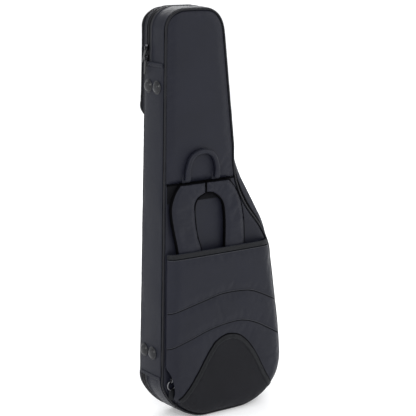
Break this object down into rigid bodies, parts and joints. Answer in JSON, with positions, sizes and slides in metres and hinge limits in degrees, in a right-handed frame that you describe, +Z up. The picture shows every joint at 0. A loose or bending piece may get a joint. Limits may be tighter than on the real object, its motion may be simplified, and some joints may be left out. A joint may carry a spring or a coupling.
{
  "type": "padded gig bag",
  "caption": "Padded soft case for an electric guitar, with a side-hinged lid, main zip, stowed shoulder straps, strap pocket, handles and spine feet.",
  "frame": {"origin": "middle of the flat end that the bag stands on", "axes": "+Z up to the headstock end, +Y from the strap side to the lid, +X to the zip side"},
  "size_m": [0.398, 0.1546, 1.074],
  "materials": {
    "nylon": "satin woven nylon, padded",
    "coarse_weave": "coarse ballistic weave",
    "webbing": "ribbed woven tape",
    "piping": "corded edge",
    "foam": "closed-cell foam",
    "plush": "short plush",
    "zip_tape": "zip tape with coil teeth",
    "feet": "glossy hard rubber",
    "black_metal": "black plated zinc",
    "nickel": "nickel plated wire"
  },
  "bodies": {
    "shell": {"back_panel_lower": "nylon", "back_panel_upper": "nylon", "back_foam": "foam", "back_lining": "plush", "main_gusset": "nylon", "gusset_binding": "webbing", "main_foam": "foam", "hinge_gusset": "nylon", "hinge_foam": "foam", "back_piping": "piping", "zip_tape_base": "zip_tape", "neck_cradle": "foam", "neck_strap": "webbing", "foot_upper_1": "feet", "foot_upper_2": "feet", "foot_lower_1": "feet", "foot_lower_2": "feet", "strap_pad_left": "nylon", "strap_pad_right": "nylon", "root_patch": "coarse_weave", "buckle_left": "black_metal", "webbing_left": "webbing", "hook_left": "nickel", "dring_left": "nickel", "dring_tab_left": "webbing", "buckle_right": "black_metal", "webbing_right": "webbing", "hook_right": "nickel", "dring_right": "nickel", "dring_tab_right": "webbing", "strap_pocket": "nylon", "pocket_hem": "webbing", "kick_panel": "coarse_weave", "kick_border": "webbing", "handle_tab_left": "nylon", "handle_tab_right": "nylon", "side_anchor_upper": "webbing", "side_anchor_lower": "webbing", "zip_end_tab": "webbing"},
    "main_upper_slider": {"main_upper_slider": "black_metal"},
    "main_upper_pull": {"main_upper_pull": "black_metal"},
    "main_lower_slider": {"main_lower_slider": "black_metal"},
    "main_lower_pull": {"main_lower_pull": "black_metal"},
    "grab_handle": {"grab_handle": "nylon"},
    "side_handle": {"side_handle": "nylon"},
    "front_slider": {"front_slider": "black_metal"},
    "front_pull": {"front_pull": "black_metal"},
    "headstock_slider": {"headstock_slider": "black_metal"},
    "headstock_pull": {"headstock_pull": "black_metal"},
    "lid": {"lid_panel": "nylon", "lid_foam": "foam", "lid_lining": "plush", "lid_rim": "nylon", "lid_piping": "piping", "zip_tape_lid": "zip_tape", "headstock_pocket": "nylon", "headstock_zip": "zip_tape", "front_pocket": "nylon", "front_zip": "zip_tape"}
  },
  "joints": [
    {"name": "lid_hinge", "type": "hinge", "parent": "shell", "child": "lid", "pos_m": [-0.18273, 0.04512, 0.5], "axis": [0.0067, -0.016, 0.9998], "range_deg": [0, 85]},
    {"name": "main_upper_slider_slide", "type": "slide", "parent": "shell", "child": "main_upper_slider", "axis": [0.0067, -0.0134, 0.9999], "range_m": [0, 0.04]},
    {"name": "main_upper_pull_hinge", "type": "hinge", "parent": "main_upper_slider", "child": "main_upper_pull", "pos_m": [-0.19051, 0.02357, 0.973], "axis": [0, 0.9999, 0.0134], "range_deg": [0, 90]},
    {"name": "main_lower_slider_slide", "type": "slide", "parent": "shell", "child": "main_lower_slider", "axis": [0.0067, -0.0134, 0.9999], "range_m": [0, 0.002]},
    {"name": "main_lower_pull_hinge", "type": "hinge", "parent": "main_lower_slider", "child": "main_lower_pull", "pos_m": [-0.19069, 0.02393, 0.946], "axis": [0, 0.9999, 0.0134], "range_deg": [0, 90]},
    {"name": "grab_handle_hinge", "type": "hinge", "parent": "shell", "child": "grab_handle", "pos_m": [-0.07304, -0.06108, 0.642], "axis": [1, 0, 0], "range_deg": [0, 80]},
    {"name": "side_handle_hinge", "type": "hinge", "parent": "shell", "child": "side_handle", "pos_m": [0.03172, -0.00988, 0.81082], "axis": [-0.117, 0, 0.9931], "range_deg": [-45, 45]},
    {"name": "front_slider_slide", "type": "slide", "parent": "lid", "child": "front_slider", "axis": [-1, 0, 0], "range_m": [0, 0.18]},
    {"name": "front_pull_hinge", "type": "hinge", "parent": "front_slider", "child": "front_pull", "pos_m": [0.07496, 0.07486, 0.37713], "axis": [0, -0.0195, 0.9998], "range_deg": [0, 90]},
    {"name": "headstock_slider_slide", "type": "slide", "parent": "lid", "child": "headstock_slider", "axis": [-0.117, -0.0195, 0.9929], "range_m": [0, 0.12]},
    {"name": "headstock_pull_hinge", "type": "hinge", "parent": "headstock_slider", "child": "headstock_pull", "pos_m": [0.02261, 0.05944, 0.85077], "axis": [0, -0.9998, -0.0196], "range_deg": [0, 90]}
  ]
}
